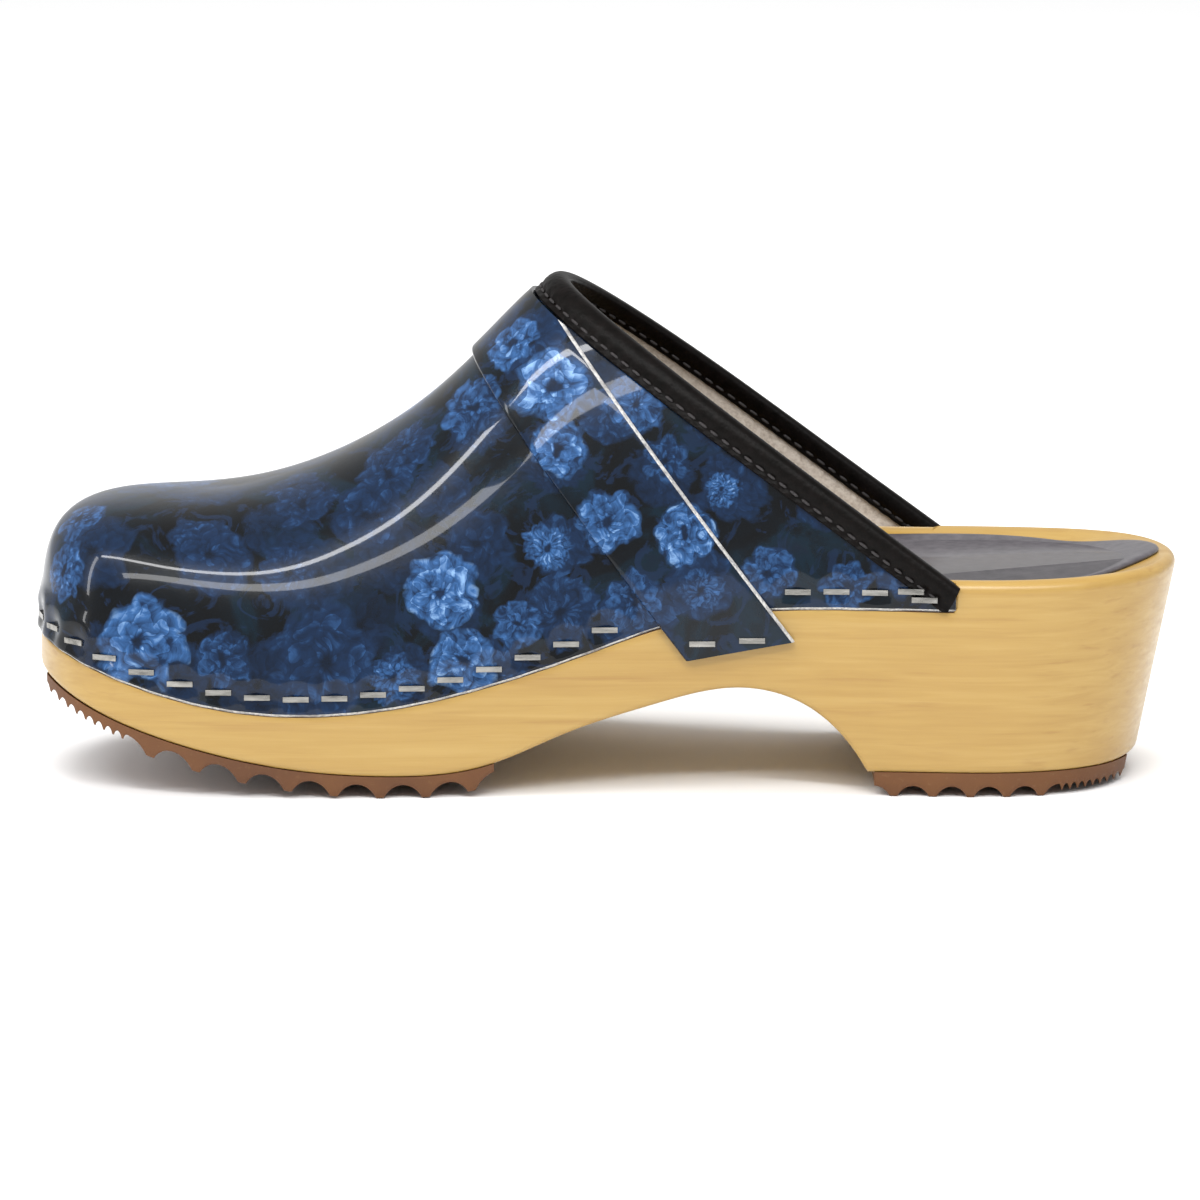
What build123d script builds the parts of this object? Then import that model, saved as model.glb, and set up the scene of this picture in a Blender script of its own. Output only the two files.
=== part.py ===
from build123d import *
import math
import os

# A right clog, seen from above with its toe at -X and its inner (medial) side at -Y.
# The origin is on the ground, under the middle of the clog's box. All sizes are in mm.

os.makedirs("parts", exist_ok=True)

# ---------------------------------------------------------------- driving dimensions
LEATHER = 1.8           # thickness of the upper and of the strap
GLUE = 0.4              # room for glue between the leather and the wood
AIR = 0.3               # room between the strap and the upper
STIFFENER = 1.0         # thickness of the toe puff
SOCK = 1.2              # thickness of the heel sock
SOCK_GAP = 0.05         # room under the heel sock
STRAP_SKIRT = 14.0      # how far the strap's form reaches below the leather's edge
RIDGE_Y = -5.0          # the instep's ridge lies a little to the inner side
TOE_RIDGE_SHIFT = -4.0  # and the middle of the toe still more
BIG = 300.0             # larger than the clog, for tools that cut right across it

# Plan outline of the sole at the level of the foot, counter-clockwise from the back of the heel.
OUTLINE = [
    (125.0, -11.0), (115.5, 13.0), (92.0, 23.0), (55.0, 27.0), (20.0, 36.0), (-18.0, 45.5),
    (-55.0, 46.0), (-86.0, 38.5), (-108.0, 25.5), (-121.0, 8.5), (-125.0, -8.5), (-123.3, -26.5),
    (-113.5, -40.0), (-94.0, -45.3), (-55.0, -45.8), (-15.0, -43.7), (25.0, -42.0),
    (60.0, -43.5), (92.0, -45.0), (115.5, -35.0),
]
# The heel's walls lean in towards the ground, most of all at the back.
HEEL_START_X = 55.0
HEEL_BREAST_X = 56.3
HEEL_AXIS_Y = -11.0
HEEL_TAPER_BACK = 8.5
HEEL_TAPER_SIDE = 1.6
FOOT_LEVEL = 48.0
GROUND_LEVEL = 5.4      # underside of the wood at the heel

# Side profiles, as heights along X.
BOTTOM_PROFILE = [
    (-130.0, 27.5), (-108.0, 16.8), (-88.0, 10.2), (-68.0, 6.2), (-48.0, 4.8), (-28.0, 6.7),
    (-10.0, 13.8), (10.0, 20.3), (29.0, 23.8), (43.0, 19.9), (51.0, 13.2), (HEEL_BREAST_X, GROUND_LEVEL),
]
FOOTBED_PROFILE = [
    (-130.0, 42.0), (-110.0, 34.0), (-88.0, 28.0), (-65.0, 25.6), (-40.0, 28.6), (-15.0, 35.5),
    (10.0, 43.4), (30.0, 47.2), (55.0, 48.0), (90.0, 48.0), (130.0, 49.0),
]
LEATHER_EDGE = [
    (-130.0, 34.5), (-115.0, 28.8), (-100.0, 23.5), (-85.0, 19.8), (-65.0, 18.3), (-45.0, 20.2),
    (-25.0, 25.0), (-5.0, 31.6), (12.0, 37.4), (32.0, 40.8), (60.0, 41.3), (90.0, 41.3),
]
OUTLINE_FACETS = 120    # flats round the wood, each about 5 mm long

# The footbed is hollowed by flat arcs: X, depth under the rim.
HOLLOW = [
    (-116.0, 0.3), (-100.0, 1.6), (-60.0, 2.5), (-10.0, 2.5), (40.0, 2.5), (85.0, 2.5), (108.0, 1.5), (119.0, 0.3),
]
HOLLOW_RIM = 7.0
HOLLOW_LIP = 0.5
SOCK_OUTLINE = [
    (118.5, -11.0), (109.0, 5.0), (90.0, 15.0), (60.0, 17.5), (30.0, 17.5), (12.0, 9.5), (6.0, -7.5),
    (12.0, -24.5), (30.0, -33.5), (60.0, -35.0), (90.0, -34.5), (109.0, -26.0),
]

# Cross-sections of the upper's form: X, height of the ridge, fullness (0.55 is an ellipse, 1 is a box).
FORM = [
    (-124.7, 46.0, 0.90), (-122.8, 54.5, 0.86), (-119.5, 59.3, 0.82), (-113.0, 61.8, 0.79),
    (-102.0, 62.2, 0.76), (-88.0, 62.1, 0.71), (-72.0, 65.0, 0.65), (-56.0, 71.5, 0.60),
    (-40.0, 82.0, 0.54), (-25.0, 96.3, 0.49), (-10.0, 109.5, 0.48), (10.0, 117.0, 0.48),
    (36.0, 125.0, 0.48), (62.0, 131.0, 0.48), (86.0, 134.0, 0.48),
]
TOE_WALL_SECTIONS = FORM[:2]
PUFF_WALL_SECTIONS = [(-122.6, 54.8, 0.86), (-121.6, 56.8, 0.84)]
PUFF_SECTIONS = [PUFF_WALL_SECTIONS[1], *FORM[2:6]]
SHELL_SECTIONS = FORM[1:]
INSTEP_SECTIONS = FORM[7:]
TOE_FAN_X = -90.0       # in front of this an offset of the form also moves it forward

# The foot's opening lies in one sloping plane, from the instep down to the heel seat.
OPENING_TOP = (-11.0, 109.9)
OPENING_END = (76.0, 46.6)
BINDING_HEIGHT = 6.6
BINDING_PROUD = 1.4     # how far the binding stands out from the leather, outside and inside
LEATHER_DROP = 2.0      # from the top of the binding down to the leather's raw edge
COVER = 0.7             # thickness of the binding's leather over the foam
SEAM_DROP = 5.1         # from the top of the binding down to its seam
THREAD = 0.4
THREAD_END_X = 62.0
BINDING_CUT = ((75.9, 46.6), (73.0, 41.0))

# The strap lies between two parallel sloping planes.
STRAP_FRONT = ((-31.4, 93.9), (16.6, 30.3))
STRAP_WIDTH = 21.3
STRAP_BOTTOM = ((0.0, 27.3), (60.0, 38.1))

# Rubber outsoles: where they begin and end, their solid base and their ridges.
FOREFOOT_RUBBER = (-123.5, -25.0)
HEEL_RUBBER = (57.5, 116.5)
RUBBER_THICKNESS = 4.8
FOREFOOT_BASE = 1.9
HEEL_BASE = 3.1
RIDGE_PITCH = 9.7
RIDGE_FLAT = 2.6
FINE_PITCH = 2.1
FINE_FLAT = 0.4
FINE_DEPTH = 1.3
FINE_TOE_END_X = -105.0
FINE_HEEL_START_X = 102.0
RUBBER_INSET = 0.3      # the rubber is trimmed a little inside the wood

# Staples and nails.
STAPLE_LENGTH = 5.6
STAPLE_WIDTH = 1.2
STAPLE_WIRE = 0.7
STAPLE_PROUD = 0.45
STAPLE_LEG = 8.0
STAPLE_PITCH = 8.35
STAPLE_ABOVE_EDGE = 4.0
STAPLE_REAR_X = 58.0
TOE_ROW_X = -104.0
STRAP_STAPLE_PLACES = ((20.3, 34.2), (31.2, 34.9))
BINDING_STAPLE_PLACES = ((65.6, 46.0), (68.2, 44.2))
NAIL_SHANK = 0.8
NAIL_HEAD = 2.2
NAIL_HEAD_HEIGHT = 0.8
NAIL_LENGTH = 12.0
HEEL_NAILS = ((68.0, -32.0), (68.0, 12.0), (103.0, -24.0), (103.0, 4.0))
FOREFOOT_NAILS = (
    (-36.0, -32.0), (-36.0, 34.0), (-72.0, -34.0), (-72.0, 32.0), (-104.0, -30.0), (-104.0, 14.0),
)


# ---------------------------------------------------------------- curves and the values read from them
def sampled(curve, steps=600):
    return [curve @ (i / steps) for i in range(steps + 1)]


outline_curve = Spline(OUTLINE, periodic=True, mode=Mode.PRIVATE)
outline_points = sampled(outline_curve)
bottom_points = sampled(Spline(BOTTOM_PROFILE, mode=Mode.PRIVATE))
footbed_points = sampled(Spline(FOOTBED_PROFILE, mode=Mode.PRIVATE))
edge_points = sampled(Spline(LEATHER_EDGE, mode=Mode.PRIVATE))


def crossings(points, x):
    """The second coordinates at which a sampled curve passes one x."""
    found = []
    for a, b in zip(points, points[1:]):
        if (a.X - x) * (b.X - x) <= 0 and a.X != b.X:
            found.append(a.Y + (b.Y - a.Y) * (x - a.X) / (b.X - a.X))
    return found


def sides(x):
    """Inner and outer side of the sole at one x."""
    found = crossings(outline_points, x)
    return min(found), max(found)


def height_on(points, x):
    return crossings(points, x)[0]


def outline_at(height):
    """The outline at a height, where the heel leans in."""
    share = (FOOT_LEVEL - height) / (FOOT_LEVEL - GROUND_LEVEL)
    points = []
    for x, y in OUTLINE:
        back = max(0.0, (x - HEEL_START_X) / (OUTLINE[0][0] - HEEL_START_X))
        side = 0.0 if abs(y - HEEL_AXIS_Y) < 1.0 else math.copysign(1.0, y - HEEL_AXIS_Y)
        moved_x = x - share * HEEL_TAPER_BACK * back ** 2
        moved_y = y - share * side * HEEL_TAPER_SIDE * back ** 0.5
        points.append((moved_x, moved_y))
    return points


def sloping_plane(top, end, shift):
    """A plane through two points of the side view, square to it, moved along its normal."""
    run = Vector(end[0] - top[0], 0, end[1] - top[1]).normalized()
    normal = Vector(-run.Z, 0, run.X)
    return Plane(origin=Vector(top[0], 0, top[1]) + normal * shift, x_dir=run, z_dir=normal)


def opening_plane(drop):
    return sloping_plane(OPENING_TOP, OPENING_END, -drop)


def strap_plane(shift):
    return sloping_plane(*STRAP_FRONT, shift)


# ---------------------------------------------------------------- tools that several pieces share
def toe_share(x):
    """0 behind the toe, rising to 1 at its front."""
    return max(0.0, (TOE_FAN_X - x) / (TOE_FAN_X - FORM[0][0]))


def arch_corners(x, ridge, grow, foot):
    """Inner foot, top and outer foot of the form's cross-section at one x, in (Y, Z)."""
    inner, outer = sides(x)
    return (inner - grow, foot), (RIDGE_Y + TOE_RIDGE_SHIFT * toe_share(x), ridge + grow), (outer + grow, foot)


def handles(side, top, fullness):
    """The two inner control points of the curve from one foot of the arch to its top."""
    shoulder = side[1] + (top[1] - side[1]) * fullness
    return (side[0], shoulder), (top[0] + (side[0] - top[0]) * fullness, top[1])


def section_plane(x):
    return Plane(origin=(x, 0, 0), x_dir=(0, 1, 0), z_dir=(1, 0, 0))


def arch_shell(outer_grow, inner_grow, sections, foot_points):
    """A thin shell that follows the upper's form, between two offsets of it."""
    with BuildPart() as body:
        for x, ridge, fullness in sections:
            foot = height_on(foot_points, x)
            first, top, last = arch_corners(x, ridge, outer_grow, foot)
            inner_first, inner_top, inner_last = arch_corners(x, ridge, inner_grow, foot)
            with BuildSketch(section_plane(x)):
                with BuildLine():
                    Bezier(first, *handles(first, top, fullness), top)
                    Bezier(top, *reversed(handles(last, top, fullness)), last)
                    Line(last, inner_last)
                    Bezier(inner_last, *handles(inner_last, inner_top, fullness), inner_top)
                    Bezier(inner_top, *reversed(handles(inner_first, inner_top, fullness)), inner_first)
                    Line(inner_first, first)
                make_face()
        loft()
    return body.part


def toe_wall(grow, sections, foot_points):
    """The blunt front wall of the toe, solid between its first two cross-sections."""
    with BuildPart() as body:
        for x, ridge, fullness in sections:
            foot = height_on(foot_points, x)
            first, top, last = arch_corners(x, ridge, grow, foot)
            with BuildSketch(section_plane(x)):
                with BuildLine():
                    Bezier(first, *handles(first, top, fullness), top)
                    Bezier(top, *reversed(handles(last, top, fullness)), last)
                    Line(last, first)
                make_face()
        loft()
    return body.part


def across(curve_points, corners):
    """A region of the side view, bounded by a spline and some corners, run right across the clog."""
    with BuildPart() as body:
        with BuildSketch(Plane.XZ):
            with BuildLine():
                Spline(curve_points)
                Polyline(curve_points[-1], *corners, curve_points[0])
            make_face()
        extrude(amount=BIG, both=True)
    return body.part


def hollow_arc(x, depth, lift):
    """Three points of the flat arc across the footbed at one x, in (Y, Z)."""
    inner, outer = sides(x)
    rim_height = height_on(footbed_points, x) + lift + HOLLOW_LIP
    middle = ((inner + outer) / 2, rim_height - HOLLOW_LIP - depth)
    return (inner + HOLLOW_RIM, rim_height), middle, (outer - HOLLOW_RIM, rim_height)


def foot_hollow():
    """The shallow hollow that the foot rests in."""
    with BuildPart() as body:
        for x, depth in HOLLOW:
            first, middle, last = hollow_arc(x, depth, 0.0)
            with BuildSketch(section_plane(x)):
                with BuildLine():
                    ThreePointArc(first, middle, last)
                    Line(last, first)
                make_face()
        loft()
    return body.part


def hollow_lining(gap, thickness):
    """A sheet that lies in the hollow."""
    with BuildPart() as body:
        for x, depth in HOLLOW:
            first, middle, last = hollow_arc(x, depth, gap)
            top_first, top_middle, top_last = hollow_arc(x, depth, gap + thickness)
            with BuildSketch(section_plane(x)):
                with BuildLine():
                    ThreePointArc(first, middle, last)
                    Line(last, top_last)
                    ThreePointArc(top_last, top_middle, top_first)
                    Line(top_first, first)
                make_face()
        loft()
    return body.part


def behind_binding():
    """Everything behind the cut end of the binding."""
    (x_top, z_top), (x_low, z_low) = BINDING_CUT
    corners = [(x_top, z_top), (x_top, BIG), (BIG, BIG), (BIG, -BIG), (x_low, -BIG)]
    with BuildPart() as body:
        with BuildSketch(Plane.XZ):
            with BuildLine():
                Polyline((x_low, z_low), *corners, close=True)
            make_face()
        extrude(amount=BIG, both=True)
    return body.part


def half_space(plane):
    """Everything on the far side of a plane, along its normal."""
    with BuildPart() as body:
        with BuildSketch(plane):
            Rectangle(2 * BIG, 2 * BIG)
        extrude(amount=BIG)
    return body.part


def opposite(plane):
    return Plane(origin=plane.origin, x_dir=plane.x_dir, z_dir=-plane.z_dir)


def facets(outline, inset=0.0):
    """Evenly spaced points of a closed spline, moved inwards by an inset."""
    curve = Spline(outline, periodic=True, mode=Mode.PRIVATE)
    points = []
    for i in range(OUTLINE_FACETS):
        spot = curve @ (i / OUTLINE_FACETS)
        along = curve % (i / OUTLINE_FACETS)
        points.append((spot.X - along.Y * inset, spot.Y + along.X * inset))
    return points


def outline_prism(low_points, high_points, low, high):
    """A block between two closed polygons at two heights."""
    with BuildPart() as body:
        for points, level in ((low_points, low), (high_points, high)):
            with BuildSketch(Plane.XY.offset(level)):
                with BuildLine():
                    Polyline(*points, close=True)
                make_face()
        loft(ruled=True)
    return body.part


def frame_on_outline(place, height, outwards):
    """A plane that stands on the sole's outline: X along it, Y into the clog, Z up."""
    tangent = outline_curve.tangent_at(place)
    inwards = Vector(-tangent.Y, tangent.X, 0)
    origin = outline_curve.position_at(place) - inwards * outwards
    return Plane(origin=(origin.X, origin.Y, height), x_dir=tangent, z_dir=(0, 0, 1))


def place_at(x, inner_side):
    """How far round the outline, from 0 to 1, one side of the sole passes one x."""
    last = len(outline_points) - 1
    on_side = [i for i in range(last) if (outline_points[i].Y < HEEL_AXIS_Y) == inner_side]
    return min(on_side, key=lambda i: abs(outline_points[i].X - x)) / last


def staples(planes):
    """One solid staple on each plane: a flat crown outside and two legs that go inwards."""
    depth = STAPLE_LEG + STAPLE_PROUD
    with BuildPart() as body:
        for plane in planes:
            with BuildSketch(plane):
                with Locations((0, depth / 2 - STAPLE_PROUD)):
                    Rectangle(STAPLE_LENGTH, depth)
                with Locations((0, (depth + STAPLE_WIRE) / 2 - STAPLE_PROUD)):
                    Rectangle(STAPLE_LENGTH - 2 * STAPLE_WIRE, depth - STAPLE_WIRE, mode=Mode.SUBTRACT)
        extrude(amount=STAPLE_WIDTH / 2, both=True)
    return body.part


def nails(places, level_at):
    """One solid nail at each place, its head lowest and its shank up in the wood."""
    with BuildPart() as body:
        for x, y in places:
            level = level_at(x)
            with BuildSketch(Plane.XY.offset(level)):
                with Locations((x, y)):
                    Circle(NAIL_HEAD)
            extrude(amount=NAIL_HEAD_HEIGHT)
            with BuildSketch(Plane.XY.offset(level + NAIL_HEAD_HEIGHT)):
                with Locations((x, y)):
                    Circle(NAIL_SHANK)
            extrude(amount=NAIL_LENGTH)
    return body.part


# ---------------------------------------------------------------- heights of the rubber outsoles
def wood_bottom(x):
    return height_on(bottom_points, x)


def forefoot_root(x):
    return wood_bottom(x) - FOREFOOT_BASE


def forefoot_tip(x):
    return max(0.0, wood_bottom(x) - RUBBER_THICKNESS)


def forefoot_fine_tip(x):
    return forefoot_root(x) - FINE_DEPTH


def heel_root(x):
    return GROUND_LEVEL - HEEL_BASE


def heel_tip(x):
    return 0.0


def heel_fine_tip(x):
    return heel_root(x) - FINE_DEPTH


# ---------------------------------------------------------------- staples
# One row runs from the back of the outer side round the toe to the back of the inner side,
# and leaves out the staples that the strap would cover.
def under_strap(x, height):
    depth = strap_plane(0.0).to_local_coords(Vector(x, 0, height)).Z
    return -STAPLE_LENGTH / 2 < depth < STRAP_WIDTH + STAPLE_LENGTH / 2


row_start = place_at(STAPLE_REAR_X, inner_side=False)
row_end = place_at(STAPLE_REAR_X, inner_side=True)
row_count = round((row_end - row_start) * outline_curve.length / STAPLE_PITCH)
medial_row = []
toe_row = []
lateral_row = []
for step in range(row_count + 1):
    place = row_start + (row_end - row_start) * step / row_count
    spot = outline_curve.position_at(place)
    height = height_on(edge_points, spot.X) + STAPLE_ABOVE_EDGE
    if under_strap(spot.X, height):
        continue
    row = toe_row if spot.X < TOE_ROW_X else medial_row if spot.Y < RIDGE_Y else lateral_row
    row.append(frame_on_outline(place, height, 0.0))

strap_row = [
    frame_on_outline(place_at(x, inner_side), height, LEATHER + AIR)
    for inner_side in (True, False)
    for x, height in STRAP_STAPLE_PLACES
]
binding_row = [
    frame_on_outline(place_at(x, inner_side), height, BINDING_PROUD)
    for inner_side in (True, False)
    for x, height in BINDING_STAPLE_PLACES
]

with BuildPart() as medial_staples:
    add(staples(medial_row))

with BuildPart() as toe_staples:
    add(staples(toe_row))

with BuildPart() as lateral_staples:
    add(staples(lateral_row))

with BuildPart() as strap_staples:
    add(staples(strap_row))

with BuildPart() as binding_end_staples:
    add(staples(binding_row))

all_staples = [
    group.part for group in (medial_staples, toe_staples, lateral_staples, strap_staples, binding_end_staples)
]


# ---------------------------------------------------------------- nails of the outsoles
with BuildPart() as heel_outsole_nails:
    add(nails(HEEL_NAILS, heel_root))

with BuildPart() as forefoot_outsole_nails:
    add(nails(FOREFOOT_NAILS, forefoot_root))


# ---------------------------------------------------------------- wooden sole
below_leather_edge = across(LEATHER_EDGE, [(90.0, -BIG), (-130.0, -BIG)])
behind_binding_end = behind_binding()
above_footbed = across(FOOTBED_PROFILE, [(130.0, BIG), (-130.0, BIG)])
under_sole = across(BOTTOM_PROFILE, [(140.0, GROUND_LEVEL), (140.0, -5.0), (-130.0, -5.0)])

core_outline = facets(OUTLINE, LEATHER + GLUE)

with BuildPart() as core:
    add(outline_prism(core_outline, core_outline, 0.0, 70.0))
    add(above_footbed, mode=Mode.SUBTRACT)

# The leather lies in a rebate round the top of the wood.
with BuildPart() as rebate:
    with BuildSketch():
        Rectangle(BIG, BIG)
    extrude(amount=70.0)
    add(outline_prism(core_outline, core_outline, 0.0, 70.0), mode=Mode.SUBTRACT)
    add(below_leather_edge, mode=Mode.SUBTRACT)
    add(behind_binding_end, mode=Mode.SUBTRACT)

with BuildPart() as wooden_sole:
    add(outline_prism(facets(outline_at(0.0)), facets(outline_at(60.0)), 0.0, 60.0))
    add(under_sole, mode=Mode.SUBTRACT)
    add(above_footbed, mode=Mode.SUBTRACT)
    add(rebate.part, mode=Mode.SUBTRACT)
    add(foot_hollow(), mode=Mode.SUBTRACT)
    add([*all_staples, heel_outsole_nails.part, forefoot_outsole_nails.part], mode=Mode.SUBTRACT)


# ---------------------------------------------------------------- rubber outsoles
def ridges(first_x, last_x, root, tip, pitch, flat):
    """Points of a row of ridges in the side view, each with a flat tip and a flat root."""
    count = round((last_x - first_x) / pitch)
    step = (last_x - first_x) / count
    slope = step / 2 - flat
    points = []
    for i in range(count):
        x = first_x + i * step
        corners = ((x, root), (x + slope, tip), (x + slope + flat, tip), (x + 2 * slope + flat, root))
        points += [(corner, level(corner)) for corner, level in corners]
    return points


def ridged_block(ridge_points, last_x, root, steps=12):
    """A ridged side profile, reaching up into the wood, run right across."""
    first_x = ridge_points[0][0]
    top = [last_x + (first_x - last_x) * i / steps for i in range(steps + 1)]
    with BuildPart() as body:
        with BuildSketch(Plane.XZ):
            with BuildLine():
                Polyline(
                    *ridge_points,
                    (last_x, root(last_x)),
                    *[(x, root(x) + RUBBER_THICKNESS) for x in top],
                    close=True,
                )
            make_face()
        extrude(amount=BIG, both=True)
    return body.part


trimmed_outline = outline_prism(
    facets(outline_at(-1.0), RUBBER_INSET), facets(outline_at(40.0), RUBBER_INSET), -1.0, 40.0,
)
toe_x, end_x = FOREFOOT_RUBBER
forefoot_ridges = [
    *ridges(toe_x, FINE_TOE_END_X, forefoot_root, forefoot_fine_tip, FINE_PITCH, FINE_FLAT),
    *ridges(FINE_TOE_END_X, end_x, forefoot_root, forefoot_tip, RIDGE_PITCH, RIDGE_FLAT),
]
start_x, back_x = HEEL_RUBBER
heel_ridges = [
    *ridges(start_x, FINE_HEEL_START_X, heel_root, heel_tip, RIDGE_PITCH, RIDGE_FLAT),
    *ridges(FINE_HEEL_START_X, back_x, heel_root, heel_fine_tip, FINE_PITCH, FINE_FLAT),
]

with BuildPart() as forefoot_outsole:
    add(ridged_block(forefoot_ridges, end_x, forefoot_root))
    add(trimmed_outline, mode=Mode.INTERSECT)
    add(under_sole, mode=Mode.INTERSECT)
    add(forefoot_outsole_nails.part, mode=Mode.SUBTRACT)

with BuildPart() as heel_outsole:
    add(ridged_block(heel_ridges, back_x, heel_root))
    add(trimmed_outline, mode=Mode.INTERSECT)
    add(under_sole, mode=Mode.INTERSECT)
    add(heel_outsole_nails.part, mode=Mode.SUBTRACT)


# ---------------------------------------------------------------- heel sock
with BuildPart() as heel_sock:
    with BuildSketch():
        with BuildLine():
            Spline(SOCK_OUTLINE, periodic=True)
        make_face()
    extrude(amount=70)
    add(hollow_lining(SOCK_GAP, SOCK), mode=Mode.INTERSECT)


# ---------------------------------------------------------------- upper and toe puff
over_footbed_points = [Vector(p.X, p.Y + AIR) for p in footbed_points]

with BuildPart() as upper:
    add(arch_shell(0.0, -LEATHER, SHELL_SECTIONS, edge_points))
    add(toe_wall(0.0, TOE_WALL_SECTIONS, edge_points))
    add(half_space(opening_plane(LEATHER_DROP)), mode=Mode.SUBTRACT)
    add(behind_binding_end, mode=Mode.SUBTRACT)
    add(all_staples, mode=Mode.SUBTRACT)

with BuildPart() as toe_puff:
    add(arch_shell(-LEATHER - AIR, -LEATHER - STIFFENER, PUFF_SECTIONS, over_footbed_points))
    add(toe_wall(-LEATHER - AIR, PUFF_WALL_SECTIONS, over_footbed_points))


# ---------------------------------------------------------------- binding of the opening
def band(outer_grow, inner_grow, top_drop, low_drop):
    """A strip that follows the form, between two planes parallel to the opening."""
    with BuildPart() as body:
        add(arch_shell(outer_grow, inner_grow, INSTEP_SECTIONS, edge_points))
        add(half_space(opening_plane(top_drop)), mode=Mode.SUBTRACT)
        add(half_space(opposite(opening_plane(low_drop))), mode=Mode.SUBTRACT)
        add(behind_binding_end, mode=Mode.SUBTRACT)
    return body.part


with BuildPart() as binding_foam:
    add(band(0.0, -LEATHER, COVER, LEATHER_DROP))

with BuildPart() as binding_slot:
    add(arch_shell(0.0, -LEATHER, INSTEP_SECTIONS, edge_points))
    add(half_space(opening_plane(COVER)), mode=Mode.SUBTRACT)

with BuildPart() as topline_binding:
    add(arch_shell(BINDING_PROUD, -LEATHER - BINDING_PROUD, INSTEP_SECTIONS, edge_points))
    add(half_space(opening_plane(0.0)), mode=Mode.SUBTRACT)
    add(half_space(opposite(opening_plane(BINDING_HEIGHT))), mode=Mode.SUBTRACT)
    add(binding_slot.part, mode=Mode.SUBTRACT)
    add(behind_binding_end, mode=Mode.SUBTRACT)
    add(core.part, mode=Mode.SUBTRACT)
    add(binding_end_staples.part, mode=Mode.SUBTRACT)

with BuildPart() as binding_thread:
    add(band(BINDING_PROUD + THREAD, BINDING_PROUD, SEAM_DROP, SEAM_DROP + THREAD))
    add(half_space(section_plane(THREAD_END_X)), mode=Mode.SUBTRACT)


# ---------------------------------------------------------------- strap over the instep
low_edge_points = [Vector(p.X, p.Y - STRAP_SKIRT) for p in edge_points]

with BuildPart() as instep_strap:
    add(arch_shell(LEATHER + AIR, AIR, INSTEP_SECTIONS, low_edge_points))
    add(half_space(strap_plane(STRAP_WIDTH)), mode=Mode.SUBTRACT)
    add(half_space(opposite(strap_plane(0.0))), mode=Mode.SUBTRACT)
    add(half_space(opposite(sloping_plane(*STRAP_BOTTOM, 0.0))), mode=Mode.SUBTRACT)
    add(half_space(opening_plane(BINDING_HEIGHT + AIR)), mode=Mode.SUBTRACT)
    add(strap_staples.part, mode=Mode.SUBTRACT)


# ---------------------------------------------------------------- files
pieces = {
    "wooden_sole": wooden_sole,
    "forefoot_outsole": forefoot_outsole,
    "heel_outsole": heel_outsole,
    "forefoot_outsole_nails": forefoot_outsole_nails,
    "heel_outsole_nails": heel_outsole_nails,
    "heel_sock": heel_sock,
    "upper": upper,
    "toe_puff": toe_puff,
    "topline_binding": topline_binding,
    "binding_foam": binding_foam,
    "binding_thread": binding_thread,
    "instep_strap": instep_strap,
    "medial_staples": medial_staples,
    "toe_staples": toe_staples,
    "lateral_staples": lateral_staples,
    "strap_staples": strap_staples,
    "binding_end_staples": binding_end_staples,
}
for label, piece in pieces.items():
    piece.part.label = label
    export_step(piece.part, f"parts/{label}.step")
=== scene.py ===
import bmesh
import bpy
import math
import numpy as np
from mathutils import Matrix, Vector


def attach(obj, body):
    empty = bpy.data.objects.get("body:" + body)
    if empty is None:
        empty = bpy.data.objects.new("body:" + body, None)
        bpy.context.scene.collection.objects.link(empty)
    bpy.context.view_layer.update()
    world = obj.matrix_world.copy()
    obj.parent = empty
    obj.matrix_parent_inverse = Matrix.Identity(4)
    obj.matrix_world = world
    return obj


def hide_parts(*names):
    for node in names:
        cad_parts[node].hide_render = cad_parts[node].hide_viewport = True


# The clog's looks. Sizes are in mm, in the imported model's frame, until a mesh is made.
# Toe at -X, inner side at -Y, ground at Z = 0.

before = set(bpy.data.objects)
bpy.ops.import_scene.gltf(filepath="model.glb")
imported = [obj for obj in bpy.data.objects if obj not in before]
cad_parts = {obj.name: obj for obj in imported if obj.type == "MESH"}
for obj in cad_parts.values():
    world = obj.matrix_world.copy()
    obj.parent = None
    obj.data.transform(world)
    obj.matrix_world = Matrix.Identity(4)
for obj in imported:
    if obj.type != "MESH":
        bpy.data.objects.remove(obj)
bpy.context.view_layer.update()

MM = 0.001
LEATHER = 1.8           # thickness of the upper and the strap
AIR = 0.3               # gap between layers
RIDGE_Y = -5.0          # the upper's ridge, before it shifts towards the toe
TOE_RIDGE_SHIFT = -3.0
REBATE = 2.2            # depth of the step in the wood that takes the leather

# ---------------------------------------------------------------- the same driving curves as the CAD
OUTLINE = [
    (125.0, -11.0), (115.5, 13.0), (92.0, 23.0), (55.0, 27.0), (20.0, 36.0), (-18.0, 45.5),
    (-55.0, 46.0), (-86.0, 38.5), (-108.0, 25.5), (-121.0, 8.5), (-125.0, -8.5), (-123.3, -26.5),
    (-113.5, -40.0), (-94.0, -45.3), (-55.0, -45.8), (-15.0, -43.7), (25.0, -42.0),
    (60.0, -43.5), (92.0, -45.0), (115.5, -35.0),
]
HEEL_START_X = 55.0
HEEL_TIP_X = 125.0
HEEL_LEAN = 8.5         # how far the back of the heel comes forward at the ground
HEEL_SIDE_LEAN = 1.6
HEEL_BREAST_X = 56.3
HEEL_AXIS_Y = -11.0
FOOT_LEVEL = 48.0
GROUND_LEVEL = 5.4
BOTTOM_PROFILE = [
    (-130.0, 27.5), (-108.0, 16.8), (-88.0, 10.2), (-68.0, 6.2), (-48.0, 4.8), (-28.0, 6.7),
    (-10.0, 13.8), (10.0, 20.3), (29.0, 23.8), (43.0, 19.9), (51.0, 13.2), (HEEL_BREAST_X, GROUND_LEVEL),
]
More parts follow.
